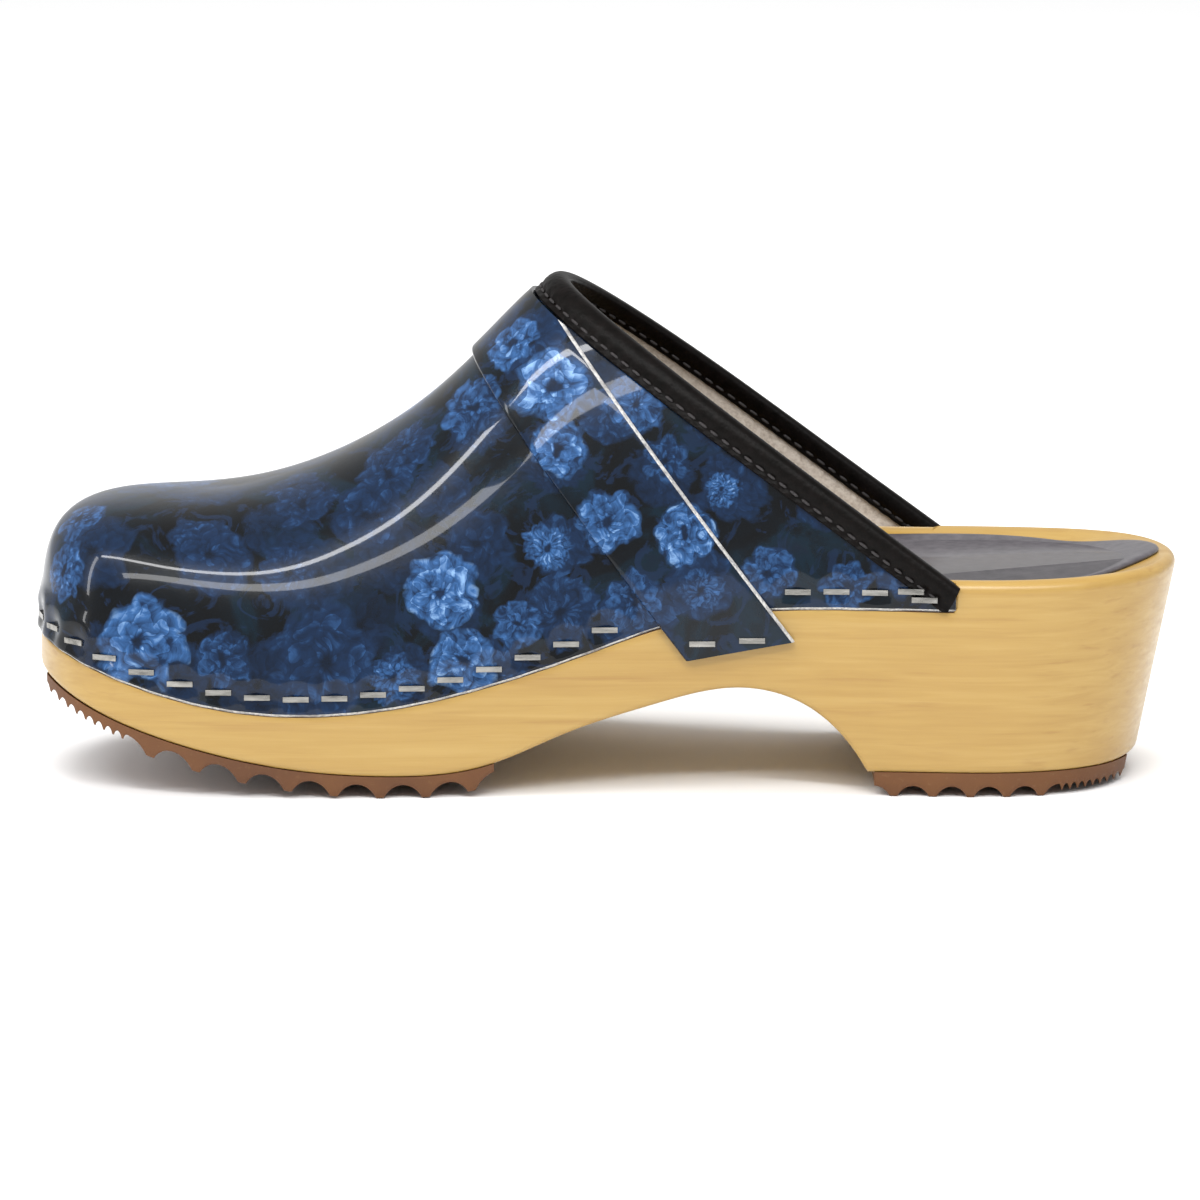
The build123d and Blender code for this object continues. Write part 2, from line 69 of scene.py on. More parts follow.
FOOTBED_PROFILE = [
    (-130.0, 42.0), (-110.0, 34.0), (-88.0, 28.0), (-65.0, 25.6), (-40.0, 28.6), (-15.0, 35.5),
    (10.0, 43.4), (30.0, 47.2), (55.0, 48.0), (90.0, 48.0), (130.0, 49.0),
]
LEATHER_EDGE = [
    (-130.0, 34.5), (-115.0, 28.8), (-100.0, 23.5), (-85.0, 19.8), (-65.0, 18.3), (-45.0, 20.2),
    (-25.0, 25.0), (-5.0, 31.6), (12.0, 37.4), (32.0, 40.8), (60.0, 41.3), (90.0, 41.3),
]
HOLLOW_DEPTH = 4.2
FRONT_HOLLOW_DEPTH = 2.2
HOLLOW_RIM = 3.5        # flat wood left round the hollow
SOCK_OUTLINE = [
    (121.0, -11.0), (110.0, 6.0), (90.0, 15.5), (60.0, 18.0), (30.0, 17.5), (12.0, 9.5), (6.0, -7.5),
    (12.0, -24.5), (30.0, -34.0), (60.0, -36.0), (90.0, -35.5), (110.0, -27.5),
]
# Cross-sections of the upper: X, height of the ridge, fullness.
FORM = [
    (-126.0, 60.0, 0.88), (-113.0, 61.8, 0.80),
    (-102.0, 62.2, 0.76), (-88.0, 62.1, 0.71), (-72.0, 65.0, 0.65), (-56.0, 71.5, 0.60),
    (-40.0, 82.0, 0.54), (-25.0, 96.3, 0.49), (-10.0, 109.5, 0.48), (10.0, 117.0, 0.48),
    (36.0, 125.0, 0.48), (62.0, 131.0, 0.48), (86.0, 134.0, 0.48),
]
TOE_FAN_X = -60.0       # in front of this the vertical profiles lean together
TOE_POLE_X = -95.0      # and meet here at the front
UPPER_END_X = 78.0      # the form goes on behind the leather's end
LEATHER_END_X = 75.0
OPENING = ((-11.0, 109.9), (76.0, 46.6))
BINDING_CUT = ((75.9, 46.6), (73.0, 41.0))
BINDING_HEIGHT = 6.6
SEAM_DROP = 5.0
LEATHER_DROP = 2.0
STRAP_FRONT = ((-31.4, 93.9), (16.6, 30.3))
STRAP_WIDTH = 21.3
STRAP_BOTTOM = ((0.0, 27.3), (60.0, 38.1))
LIGHT_AIM = (0.0, 0.0, 0.03)    # metres, as the lights' places are


def spline(points, count=1500, closed=False):
    """Points along a smooth curve through some points."""
    p = np.array(points + points[:1] if closed else points, float)
    t = np.r_[0.0, np.cumsum(np.linalg.norm(np.diff(p, axis=0), axis=1))]
    h = np.diff(t)
    n = len(p)
    a = np.zeros((n, n))
    b = np.zeros(p.shape)
    for i in range(1, n - 1):
        a[i, i - 1:i + 2] = h[i - 1], 2 * (h[i - 1] + h[i]), h[i]
        b[i] = 6 * ((p[i + 1] - p[i]) / h[i] - (p[i] - p[i - 1]) / h[i - 1])
    a[0, 0] = 1
    if closed:
        a[0, n - 1] = -1
        a[n - 1, 0] = 2 * h[0]
        a[n - 1, 1] = h[0]
        a[n - 1, n - 2] = h[-1]
        a[n - 1, n - 1] = 2 * h[-1]
        b[n - 1] = 6 * ((p[1] - p[0]) / h[0] - (p[-1] - p[-2]) / h[-1])
    else:
        a[0, 1] = -1
        a[n - 1, n - 2:] = 1, -1
    m = np.linalg.solve(a, b)
    s = np.linspace(0, t[-1], count)
    i = np.clip(np.searchsorted(t, s, side="right") - 1, 0, n - 2)
    u = (s - t[i])[:, None]
    w = h[i][:, None]
    curve = (m[i] * (w - u) ** 3 + m[i + 1] * u ** 3) / (6 * w)
    return curve + (p[i] / w - m[i] * w / 6) * (w - u) + (p[i + 1] / w - m[i + 1] * w / 6) * u


def reader(points):
    """A function that reads a side profile's height at x."""
    curve = spline(points)
    order = np.argsort(curve[:, 0])
    return lambda x: np.interp(x, curve[order, 0], curve[order, 1])


def smooth(x, low, high):
    """A share that grows smoothly from 0 at low to 1 at high."""
    t = np.clip((x - low) / (high - low), 0.0, 1.0)
    return t * t * (3 - 2 * t)


outline = spline(OUTLINE, 6000, closed=True)
front = int(np.argmin(outline[:, 0]))
back = int(np.argmax(outline[:, 0]))
X_MIN = float(outline[front, 0])
X_MAX = float(outline[back, 0])
rolled = np.roll(outline[:-1], -back, axis=0)
turn = int(np.argmin(rolled[:, 0]))
outer_side = rolled[:turn + 1][::-1]
inner_side = np.vstack([rolled[turn:], rolled[:1]])
bottom_z = reader(BOTTOM_PROFILE)
footbed_z = reader(FOOTBED_PROFILE)
edge_z = reader(LEATHER_EDGE)
ridge_z = reader([(x, z) for x, z, k in FORM])
fullness = reader([(x, k * 100) for x, z, k in FORM])


def outer_y(x):
    """Y of the outline's outer side."""
    return np.interp(x, outer_side[:, 0], outer_side[:, 1])


def inner_y(x):
    """Y of the outline's inner side."""
    return np.interp(x, inner_side[:, 0], inner_side[:, 1])


def ridge_y(x):
    """Y of the upper's highest line."""
    return RIDGE_Y + TOE_RIDGE_SHIFT * smooth(-x, 60.0, 95.0)


def ridge_x(x):
    """Where on the ridge the vertical profile that stands at x on the outline ends."""
    reach = TOE_FAN_X - TOE_POLE_X
    power = (TOE_FAN_X - X_MIN) / reach
    share = np.clip((x - X_MIN) / (TOE_FAN_X - X_MIN), 0.0, 1.0)
    return np.where(x < TOE_FAN_X, TOE_POLE_X + reach * share ** power, x)


# ---------------------------------------------------------------- mesh helpers
def make_object(name, points, faces, materials=(), merge=1e-5):
    """A smooth shaded object from points in mm and faces."""
    mesh = bpy.data.meshes.new(name)
    bm = bmesh.new()
    verts = [bm.verts.new(Vector(p) * MM) for p in points]
    for f in faces:
        if len(set(f)) > 2:
            bm.faces.new([verts[i] for i in f])
    bmesh.ops.remove_doubles(bm, verts=bm.verts, dist=merge)
    loose = [v for v in bm.verts if not v.link_faces]
    bmesh.ops.delete(bm, geom=loose, context="VERTS")
    bmesh.ops.recalc_face_normals(bm, faces=bm.faces)
    bm.to_mesh(mesh)
    bm.free()
    obj = bpy.data.objects.new(name, mesh)
    bpy.context.scene.collection.objects.link(obj)
    for material in materials:
        mesh.materials.append(material)
    mesh.polygons.foreach_set("use_smooth", [True] * len(mesh.polygons))
    return obj


def grid_faces(rows, columns, close_rows=False, close_columns=False, start=0):
    """Four-sided faces between the points of a grid, which may close on itself in rows or columns."""
    faces = []
    for r in range(rows if close_rows else rows - 1):
        for c in range(columns if close_columns else columns - 1):
            next_c = (c + 1) % columns
            row = start + r * columns
            next_row = start + (r + 1) % rows * columns
            faces.append([row + c, row + next_c, next_row + next_c, next_row + c])
    return faces


def outwards(obj):
    """Turns an open shell's faces to look away from the clog's middle line."""
    bm = bmesh.new()
    bm.from_mesh(obj.data)
    total = 0.0
    for f in bm.faces:
        c = f.calc_center_median()
        total += f.calc_area() * f.normal.dot(Vector((0.0, c.y + 0.005, c.z - 0.03)))
    if total < 0:
        bmesh.ops.reverse_faces(bm, faces=bm.faces)
    bm.to_mesh(obj.data)
    bm.free()


def declare(obj, node):
    """The object rides on the body and stands for a CAD node, which it hides."""
    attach(obj, "root")
    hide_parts(node)


def sharpen(obj, degrees=38.0):
    """Marks edges sharper than an angle, so that the smooth shading stops there."""
    bm = bmesh.new()
    bm.from_mesh(obj.data)
    for e in bm.edges:
        if len(e.link_faces) == 2 and e.calc_face_angle(0.0) > math.radians(degrees):
            e.smooth = False
    bm.to_mesh(obj.data)
    bm.free()


# ---------------------------------------------------------------- materials
class Nodes:
    """Short ways to build a material's nodes."""

    def __init__(self, name):
        self.material = bpy.data.materials.new(name)
        self.material.use_nodes = True
        self.tree = self.material.node_tree
        self.shader = self.tree.nodes["Principled BSDF"]
        self.place = self.add("ShaderNodeTexCoord").outputs["Object"]

    def add(self, kind, inputs=None, **settings):
        node = self.tree.nodes.new(kind)
        for key, value in settings.items():
            setattr(node, key, value)
        for key, value in (inputs or {}).items():
            self.put(node.inputs[key], value)
        return node

    def put(self, socket, value):
        if isinstance(value, bpy.types.NodeSocket):
            self.tree.links.new(value, socket)
        else:
            socket.default_value = value

    def math(self, operation, a, b=0.0, clamp=False):
        node = self.add("ShaderNodeMath", operation=operation, use_clamp=clamp)
        for socket, value in zip(node.inputs, (a, b)):
            self.put(socket, value)
        return node.outputs[0]

    def scaled(self, factors, place=None):
        node = self.add("ShaderNodeVectorMath", {0: place or self.place, 1: factors}, operation="MULTIPLY")
        return node.outputs[0]

    def noise(self, scale, detail=4.0, rough=0.5, place=None, distortion=0.0):
        inputs = {"Vector": place or self.place, "Scale": scale, "Detail": detail, "Roughness": rough}
        inputs["Distortion"] = distortion
        return self.add("ShaderNodeTexNoise", inputs).outputs["Fac"]

    def ramp(self, value, *stops):
        node = self.add("ShaderNodeValToRGB", {"Fac": value})
        elements = node.color_ramp.elements
        while len(elements) < len(stops):
            elements.new(0.5)
        for element, (position, colour) in zip(elements, stops):
            element.position = position
            element.color = (*colour, 1.0)
        return node.outputs["Color"]

    def mix(self, factor, a, b):
        node = self.add("ShaderNodeMix", data_type="RGBA")
        self.put(node.inputs[0], factor)
        self.put(node.inputs[6], a if isinstance(a, bpy.types.NodeSocket) else (*a, 1.0))
        self.put(node.inputs[7], b if isinstance(b, bpy.types.NodeSocket) else (*b, 1.0))
        return node.outputs[2]

    def map(self, value, low, high, to_low=0.0, to_high=1.0):
        node = self.add("ShaderNodeMapRange", {"Value": value, "From Min": low, "From Max": high})
        self.put(node.inputs["To Min"], to_low)
        self.put(node.inputs["To Max"], to_high)
        return node.outputs[0]

    def bump(self, height, strength, distance):
        inputs = {"Height": height, "Strength": strength, "Distance": distance}
        self.put(self.shader.inputs["Normal"], self.add("ShaderNodeBump", inputs).outputs[0])

    def set(self, **values):
        for key, value in values.items():
            self.put(self.shader.inputs[key.replace("_", " ")], value)
        return self.material


def srgb(r, g, b):
    """A screen colour, 0 to 255, as linear light."""
    return tuple(((c / 255 + 0.055) / 1.055) ** 2.4 if c > 10 else c / 255 / 12.92 for c in (r, g, b))


def wood_material():
    n = Nodes("varnished_wood")
    grain = n.noise(60.0, 8.0, 0.62, n.scaled((0.35, 2.5, 10.0)), 0.6)
    flecks = n.noise(210.0, 3.0, 0.5, n.scaled((0.11, 1.6, 3.4)))
    bands = n.noise(14.0, 2.0, 0.5, n.scaled((0.5, 2.0, 4.0)), 1.2)
    colour = n.ramp(grain, (0.22, srgb(153, 119, 58)), (0.52, srgb(164, 132, 67)), (0.80, srgb(173, 143, 79)))
    colour = n.mix(n.map(flecks, 0.60, 0.72, 0.0, 0.35), colour, srgb(138, 98, 46))
    colour = n.mix(n.map(bands, 0.35, 0.70, 0.0, 0.2), colour, srgb(155, 120, 56))
    n.put(n.shader.inputs["Base Color"], colour)
    n.bump(flecks, 0.12, 0.0004)
    return n.set(Roughness=n.map(grain, 0.3, 0.7, 0.42, 0.32), Coat_Weight=0.25, Coat_Roughness=0.25)


def rubber_material():
    n = Nodes("brown_rubber")
    cloud = n.noise(40.0, 5.0)
    dust = n.noise(900.0, 2.0)
    colour = n.ramp(cloud, (0.3, srgb(80, 44, 12)), (0.7, srgb(100, 60, 20)))
    colour = n.mix(n.map(dust, 0.62, 0.75, 0.0, 0.35), colour, srgb(116, 82, 48))
    n.put(n.shader.inputs["Base Color"], colour)
    n.bump(dust, 0.25, 0.0002)
    return n.set(Roughness=0.62)


def steel_material():
    n = Nodes("staple_wire")
    scratches = n.noise(700.0, 3.0, 0.6, n.scaled((0.2, 1.0, 1.0)))
    colour = n.ramp(scratches, (0.3, srgb(96, 95, 92)), (0.7, srgb(162, 160, 155)))
    n.put(n.shader.inputs["Base Color"], colour)
    n.bump(scratches, 0.1, 0.0001)
    return n.set(Metallic=1.0, Roughness=n.map(scratches, 0.3, 0.7, 0.22, 0.4))


def binding_material():
    n = Nodes("grained_binding")
    cells = n.add("ShaderNodeTexVoronoi", {"Vector": n.place, "Scale": 1100.0}, feature="SMOOTH_F1")
    fine = n.noise(500.0, 3.0)
    colour = n.ramp(fine, (0.3, srgb(4, 3, 2)), (0.7, srgb(13, 9, 8)))
    n.put(n.shader.inputs["Base Color"], colour)
    n.bump(n.math("ADD", cells.outputs["Distance"], fine), 0.35, 0.0002)
    n.put(n.shader.inputs["Specular IOR Level"], 0.09)
    return n.set(Roughness=0.42)


def flesh_material():
    n = Nodes("flesh_side")
    speckle = n.noise(900.0, 4.0, 0.7)
    cloud = n.noise(50.0, 3.0)
    colour = n.ramp(
        speckle, (0.32, srgb(170, 158, 146)), (0.5, srgb(206, 196, 184)), (0.7, srgb(224, 216, 206)),
    )
    colour = n.mix(n.map(cloud, 0.3, 0.7, 0.0, 0.35), colour, srgb(188, 177, 165))
    n.put(n.shader.inputs["Base Color"], colour)
    n.bump(speckle, 0.4, 0.0002)
    return n.set(Roughness=0.9)


def cut_edge_material():
    n = Nodes("cut_edge")
    fibres = n.noise(1500.0, 3.0, 0.7)
    patches = n.noise(180.0, 3.0, 0.6)
    colour = n.ramp(
        fibres, (0.3, srgb(120, 120, 124)), (0.5, srgb(182, 181, 178)), (0.7, srgb(214, 212, 208)),
    )
    colour = n.mix(n.map(patches, 0.52, 0.68, 0.0, 0.7), colour, srgb(110, 106, 106))
    n.put(n.shader.inputs["Base Color"], colour)
    n.bump(fibres, 0.5, 0.0002)
    return n.set(Roughness=0.85)


def plain_material(name, low, high, scale, rough, bump=0.2):
    n = Nodes(name)
    texture = n.noise(scale, 5.0, 0.6)
    n.put(n.shader.inputs["Base Color"], n.ramp(texture, (0.3, low), (0.7, high)))
    n.bump(texture, bump, 0.0002)
    return n.set(Roughness=rough)


def blossom(n, layer):
    """Colour and cover of the flower whose own coordinates a face carries in two attributes."""
    spot = n.add("ShaderNodeAttribute", attribute_name=f"bloom_place_{layer}").outputs["Vector"]
    style = n.add("ShaderNodeAttribute", attribute_name=f"bloom_style_{layer}").outputs["Vector"]
    wobble = n.add("ShaderNodeTexNoise", {"Vector": spot, "Scale": 1.7, "Detail": 1.6}).outputs["Color"]
    shift = n.add("ShaderNodeVectorMath", {0: wobble, 1: (0.5, 0.5, 0.5)}, operation="SUBTRACT").outputs[0]
    shift = n.scaled((0.72, 0.72, 0.0), shift)
    bent = n.add("ShaderNodeVectorMath", {0: spot, 1: shift}, operation="ADD").outputs[0]
    parts = n.add("ShaderNodeSeparateXYZ", {0: bent})
    traits = n.add("ShaderNodeSeparateXYZ", {0: style})
    petals, light, rings = traits.outputs
    a, b = parts.outputs[0], parts.outputs[1]
    radius = n.math("SQRT", n.math("ADD", n.math("MULTIPLY", a, a), n.math("MULTIPLY", b, b)))
    angle = n.math("ARCTAN2", b, a)
    # Petal rings: each ring is turned against the one inside it.
    swing = n.math("MULTIPLY", angle, n.math("MULTIPLY", petals, 0.5))
    scallop = n.math("ABSOLUTE", n.math("SINE", swing))
    scallop_2 = n.math("ABSOLUTE", n.math("SINE", n.math("ADD", swing, 1.5)))
    depth = n.math("MULTIPLY", radius, rings)
    reach_1 = n.math("MULTIPLY", scallop, 0.62)
    reach_2 = n.math("MULTIPLY", scallop_2, 0.62)
    ring_1 = n.math("FRACT", n.math("SUBTRACT", n.math("ADD", depth, 1.0), reach_1))
    ring_2 = n.math("FRACT", n.math("SUBTRACT", n.math("ADD", depth, 1.5), reach_2))
    shade = n.math("MULTIPLY", n.map(ring_1, 0.0, 1.0, 0.60, 1.0), n.map(ring_2, 0.0, 1.0, 0.78, 1.0))
    crumple = n.noise(2.2, 5.0, 0.6, spot, 1.6)
    shade = n.math("MULTIPLY", shade, n.map(crumple, 0.32, 0.66, 0.35, 1.15))
    rim = n.math("ADD", 0.80, n.math("MULTIPLY", scallop, 0.15))
    cover = n.math("SUBTRACT", 1.0, n.map(n.math("SUBTRACT", radius, rim), -0.12, 0.02), clamp=True)
    heart = n.map(radius, 0.05, 0.20)
    shade = n.math("MULTIPLY", shade, n.math("MAXIMUM", heart, 0.25))
    value = n.math("MULTIPLY", shade, light)
    colour = n.ramp(
        value, (0.0, srgb(4, 11, 22)), (0.25, srgb(15, 36, 64)),
        (0.6, srgb(46, 84, 132)), (1.0, srgb(122, 156, 196)),
    )
    return colour, n.math("MULTIPLY", cover, n.map(light, 0.0, 0.35))


def patent_material():
    n = Nodes("patent_leather_print")
    cloud = n.noise(34.0, 4.0, 0.6, None, 1.5)
    leaf = n.noise(90.0, 3.0, 0.6, None, 2.5)
    ground = n.ramp(
        cloud, (0.34, srgb(2, 3, 5)), (0.50, srgb(3, 8, 14)),
        (0.60, srgb(5, 24, 36)), (0.74, srgb(9, 18, 34)),
    )
    ground = n.mix(n.map(leaf, 0.54, 0.60, 0.0, 0.6), ground, srgb(16, 34, 60))
    back_colour, back_cover = blossom(n, 2)
    front_colour, front_cover = blossom(n, 1)
    colour = n.mix(back_cover, ground, back_colour)
    colour = n.mix(front_cover, colour, front_colour)
    n.put(n.shader.inputs["Base Color"], colour)
    waves = n.noise(70.0, 2.0, 0.5)
    peel = n.noise(900.0, 2.0, 0.5)
    n.bump(n.math("ADD", waves, n.math("MULTIPLY", peel, 0.09)), 0.22, 0.0009)
    n.put(n.shader.inputs["Specular IOR Level"], 0.1)
    return n.set(Roughness=0.25, Coat_Weight=0.33, Coat_Roughness=0.035)


WOOD = wood_material()
RUBBER = rubber_material()
STEEL = steel_material()
BINDING = binding_material()
FLESH = flesh_material()
CUT_EDGE = cut_edge_material()
PATENT = patent_material()
SOCK = plain_material("sock_leather", srgb(62, 59, 63), srgb(84, 80, 84), 420.0, 0.33, 0.3)
THREAD = plain_material("stitch_thread", srgb(22, 20, 22), srgb(52, 48, 48), 2500.0, 0.7, 0.5)
# Dark brown for the ledge under the leather: glue, with the rebate's shadow painted in.
GLUE_AND_SHADOW = plain_material("glue_and_shadow_line", srgb(70, 44, 24), srgb(112, 76, 44), 300.0, 0.6, 0.3)
STIFFENER = plain_material("stiffener", srgb(180, 168, 150), srgb(205, 194, 176), 300.0, 0.85, 0.3)
FOAM = plain_material("soft_foam", srgb(90, 90, 92), srgb(120, 120, 122), 900.0, 0.95, 0.5)


# ---------------------------------------------------------------- wooden sole
SOLE_COLUMNS = 560
CENTRE_LINE_END = 32.0  # from the tip of the toe or heel to the end of the middle line
REBATE_END_X = 75.3
UNDER_INSET = 1.2       # width of the rounding under the wood
RIM_ROUND = 2.6
SEAT_EDGE_DROP = 5.5    # where the heel's plain side starts below the footbed


def lean(points):
    """The heel's walls lean in towards the ground."""
    p = np.array(points, float)
    share = (FOOT_LEVEL - p[:, 2]) / (FOOT_LEVEL - GROUND_LEVEL)
    back_share = np.clip((p[:, 0] - HEEL_START_X) / (HEEL_TIP_X - HEEL_START_X), 0.0, None)
    side = np.clip((p[:, 1] - HEEL_AXIS_Y) / 12.0, -1.0, 1.0)
    p[:, 1] -= share * side * HEEL_SIDE_LEAN * np.sqrt(back_share)
    p[:, 0] -= share * HEEL_LEAN * back_share ** 2
    return p


def centre_line(x):
    """The middle line that the wood's top and bottom close on, for a point x on the outline."""
    middle = (X_MIN + X_MAX) / 2
    half = (X_MAX - X_MIN) / 2
    t = (x - middle) / half
    cx = middle + (half - CENTRE_LINE_END) * np.sign(t) * np.abs(t) ** 0.95
    return cx, (inner_y(cx) + outer_y(cx)) / 2


def hollow_depth(x):
    """The footbed is deeper at the heel; in front it keeps clear of the staples' legs."""
    return FRONT_HOLLOW_DEPTH + (HOLLOW_DEPTH - FRONT_HOLLOW_DEPTH) * smooth(x, 25.0, 65.0)


def hollow_z(x, y):
    """Height of the footbed with its hollow, which drops away close to the rim."""
    inner, outer = inner_y(x) + HOLLOW_RIM, outer_y(x) - HOLLOW_RIM
    half = np.maximum((outer - inner) / 2, 1.0)
    across = np.clip((y - (inner + outer) / 2) / half, -1.0, 1.0)
    ends = smooth(x, X_MIN + 3.0, X_MIN + 30.0) * (1 - smooth(x, X_MAX - 26.0, X_MAX - HOLLOW_RIM))
    return footbed_z(x) - hollow_depth(x) * ends * (1 - across ** 4)


def wood_ring(side_of, x, inset, height, share=0.0):
    """A row of points on one side, inset from the outline, then a share of the way to the middle line."""
    y = side_of(x)
    cx, cy = centre_line(x)
    length = np.hypot(cx - x, cy - y)
    move = np.minimum(inset / length, 0.6) * (1 - share) + share
    px, py = x + (cx - x) * move, y + (cy - y) * move
    z = height(px, py) if callable(height) else np.broadcast_to(height, x.shape)
    return np.column_stack([px, py, z])


def underside(px, py):
    """Height of the wood's underside."""
    return bottom_z(px)


angles = np.linspace(0, math.pi, SOLE_COLUMNS)
stations = (X_MIN + X_MAX) / 2 - (X_MAX - X_MIN) / 2 * np.cos(angles)
is_front = stations < REBATE_END_X
rebate = np.where(is_front, REBATE, 0.0)
ledge = np.where(is_front, edge_z(stations), footbed_z(stations) - SEAT_EDGE_DROP)
top = footbed_z(stations)
rim = top - RIM_ROUND
base = bottom_z(stations)
foot = np.minimum(base + 1.4, ledge - 2.0)
wood_points = []
for side_of in (inner_y, outer_y):
    rows = []
    for share in (1.0, 0.8, 0.6, 0.4, 0.2, 0.08, 0.0):
        rows.append(wood_ring(side_of, stations, UNDER_INSET, underside, share))
    for inset, up in ((0.75, 0.08), (0.35, 0.35), (0.08, 0.8)):
        rows.append(wood_ring(side_of, stations, inset, base + up))
    for share in np.linspace(0, 1, 12):
        rows.append(wood_ring(side_of, stations, 0.0, foot + (ledge - 0.5 - foot) * share))
    rows.append(wood_ring(side_of, stations, 0.15 * (rebate > 0), ledge - 0.12))
    for inset, up in ((0.5, 0.0), (REBATE, 0.02)):
        rows.append(wood_ring(side_of, stations, np.minimum(inset, rebate), ledge + up))
    for share in (0.1, 0.5, 1.0):
        rows.append(wood_ring(side_of, stations, rebate, ledge + (rim - ledge) * share))
    for turned in (18, 36, 54, 72, 90):
        a = math.radians(turned)
        inset = rebate + RIM_ROUND * (1 - math.cos(a))
        rows.append(wood_ring(side_of, stations, inset, top - RIM_ROUND * (1 - math.sin(a))))
    for share in (0.0, 0.04, 0.08, 0.13, 0.2, 0.3, 0.42, 0.56, 0.7, 0.85, 1.0):
        rows.append(wood_ring(side_of, stations, rebate + 3.0, hollow_z, share))
    wood_points.append(np.array(rows))
row_count = len(wood_points[0])
points = np.vstack([lean(side.reshape(-1, 3)) for side in wood_points])
faces = grid_faces(row_count, SOLE_COLUMNS)
faces += grid_faces(row_count, SOLE_COLUMNS, start=row_count * SOLE_COLUMNS)
sole = make_object("clog_sole", points, faces, materials=(WOOD, GLUE_AND_SHADOW), merge=2e-5)
sharpen(sole, 42.0)
# The ledge under the leather shows a dark line: partly glue, partly painted shadow of the rebate under the
# leather's edge.
for polygon in sole.data.polygons:
    c = polygon.center / MM
    if c.x < LEATHER_END_X and polygon.normal.z > 0.6 and abs(c.z - float(edge_z(c.x))) < 0.25:
        polygon.material_index = 1
declare(sole, "wooden_sole")


# ---------------------------------------------------------------- rubber outsoles
RIDGE_PITCH = 9.7
RIDGE_FLAT = 1.7
RIDGE_SOFTEN = 0.25
FINE_PITCH = 2.1
FINE_FLAT = 0.4
FINE_DEPTH = 1.3
VALLEY_ARC = 0.86       # how much of a quarter circle one side of a valley follows
FOREFOOT_BODY = 1.9     # rubber above the ridges
FOREFOOT_THICKNESS = 4.8
HEEL_BODY = 3.1
RUBBER_INSET = 0.35


def tooth_rows(first_x, last_x, pitch, flat, soften):
    """X and share of the way from root to tip, for a row of ridges with arched valleys between them."""
    number = round((last_x - first_x) / pitch)
    step = (last_x - first_x) / number
    half = (step - flat) / 2
    valley = [(u, (1 - math.sqrt(1 - (VALLEY_ARC * u) ** 2)) / (1 - math.sqrt(1 - VALLEY_ARC ** 2)))
              for u in (0.05, 0.3, 0.55, 0.75, 0.9, 0.985)]
    places = []
    for i in range(number):
        start = first_x + i * step
        places += [(start + half * u, share) for u, share in valley]
        places += [(start + half + soften, 1.0), (start + half + flat - soften, 1.0)]
        places += [(start + flat + half * (2 - u), share) for u, share in reversed(valley)]
    return places


def outsole(name, node, places, top_at):
    """A rubber sole from places (x, height of the ridged underside), flush with the wood."""
    loops = []
    for x, z in places:
        t = float(top_at(x)) - 0.02
        c = min(0.5, (t - z) * 0.3)
        edge = [(c, z), (c * 0.3, z + c * 0.3), (0.0, z + c), (0.0, (z + t) / 2), (0.0, t)]
        inner, outer = inner_y(x) + RUBBER_INSET, outer_y(x) - RUBBER_INSET
        loop = [(x, inner + inset, height) for inset, height in edge]
        loop += [(x, outer - inset, height) for inset, height in reversed(edge)]
        loops.append(loop)
    loops = np.array(loops)
    n = loops.shape[1]
    points = lean(loops.reshape(-1, 3))
    faces = grid_faces(len(loops), n, close_columns=True)
    faces += [list(range(n)), list(range((len(loops) - 1) * n, len(loops) * n))]
    piece = make_object(name, points, faces, materials=(RUBBER,))
    sharpen(piece, 30.0)
    declare(piece, node)


forefoot = []
for x, s in tooth_rows(-123.5, -105.0, FINE_PITCH, FINE_FLAT, 0.1):
    forefoot.append((x, bottom_z(x) - FOREFOOT_BODY - FINE_DEPTH * s))
for x, s in tooth_rows(-105.0, -25.0, RIDGE_PITCH, RIDGE_FLAT, RIDGE_SOFTEN):
    root = bottom_z(x) - FOREFOOT_BODY
    forefoot.append((x, root + (max(0.0, bottom_z(x) - FOREFOOT_THICKNESS) - root) * s))
outsole("clog_forefoot_rubber", "forefoot_outsole", [(x, float(z)) for x, z in forefoot], bottom_z)
root = GROUND_LEVEL - HEEL_BODY
heel = [(x, root - root * s) for x, s in tooth_rows(57.5, 102.0, RIDGE_PITCH, RIDGE_FLAT, RIDGE_SOFTEN)]
heel += [(x, root - FINE_DEPTH * s) for x, s in tooth_rows(102.0, 121.5, FINE_PITCH, FINE_FLAT, 0.08)]
outsole("clog_heel_rubber", "heel_outsole", heel, lambda x: GROUND_LEVEL)


# ---------------------------------------------------------------- upper
UPPER_ROWS = 74
TOE_COLUMNS = 74
SIDE_COLUMNS = 158
CLOG_HEART_Y = -8.0
DENT_REACH = 14
DENT_DEPTH = 0.40
SWELLING = 0.10
EDGE_SLANT = 0.75       # the lower edge is cut at a slant this wide
EDGE_LIFT = 0.65


